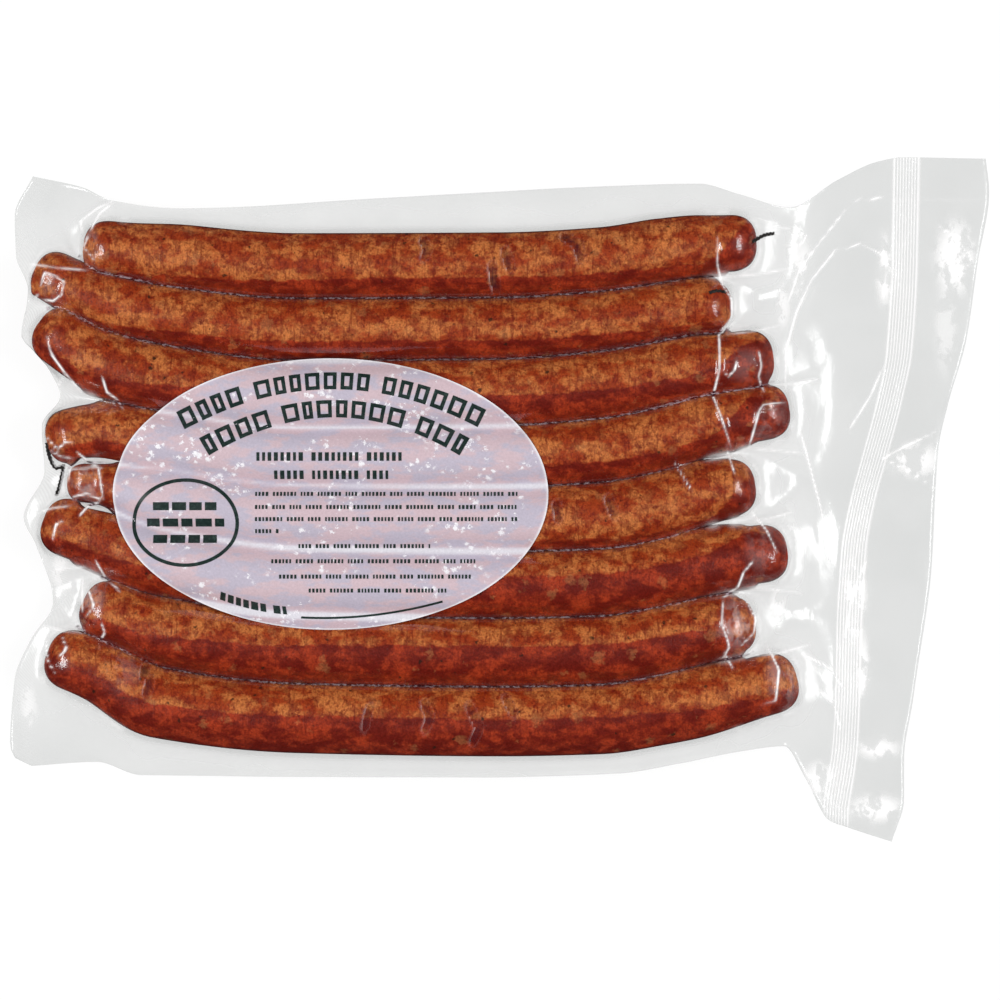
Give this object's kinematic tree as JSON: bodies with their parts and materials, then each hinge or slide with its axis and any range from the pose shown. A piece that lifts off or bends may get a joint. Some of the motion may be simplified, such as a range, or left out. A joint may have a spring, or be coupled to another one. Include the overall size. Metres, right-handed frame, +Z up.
{
  "type": "vacuum pack of smoked sausage links",
  "caption": "Flat clear vacuum pack of curved smoked sausage links lying side by side, with a wide sealed header and an oval label.",
  "frame": {"origin": "middle of the pack's length and width, on the surface it lies on", "axes": "+X along the links towards the header of the pouch, +Y across the links, +Z up through the label side"},
  "size_m": [0.3684, 0.2576, 0.025],
  "materials": {
    "casing": "smoked casing under tight clear film, glossy",
    "film": "clear glossy pouch film",
    "label": "thin translucent label, satin",
    "print": "dark green ink",
    "string": "black twine"
  },
  "bodies": {
    "root": {"bag": "casing", "label": "label"}
  },
  "joints": []
}
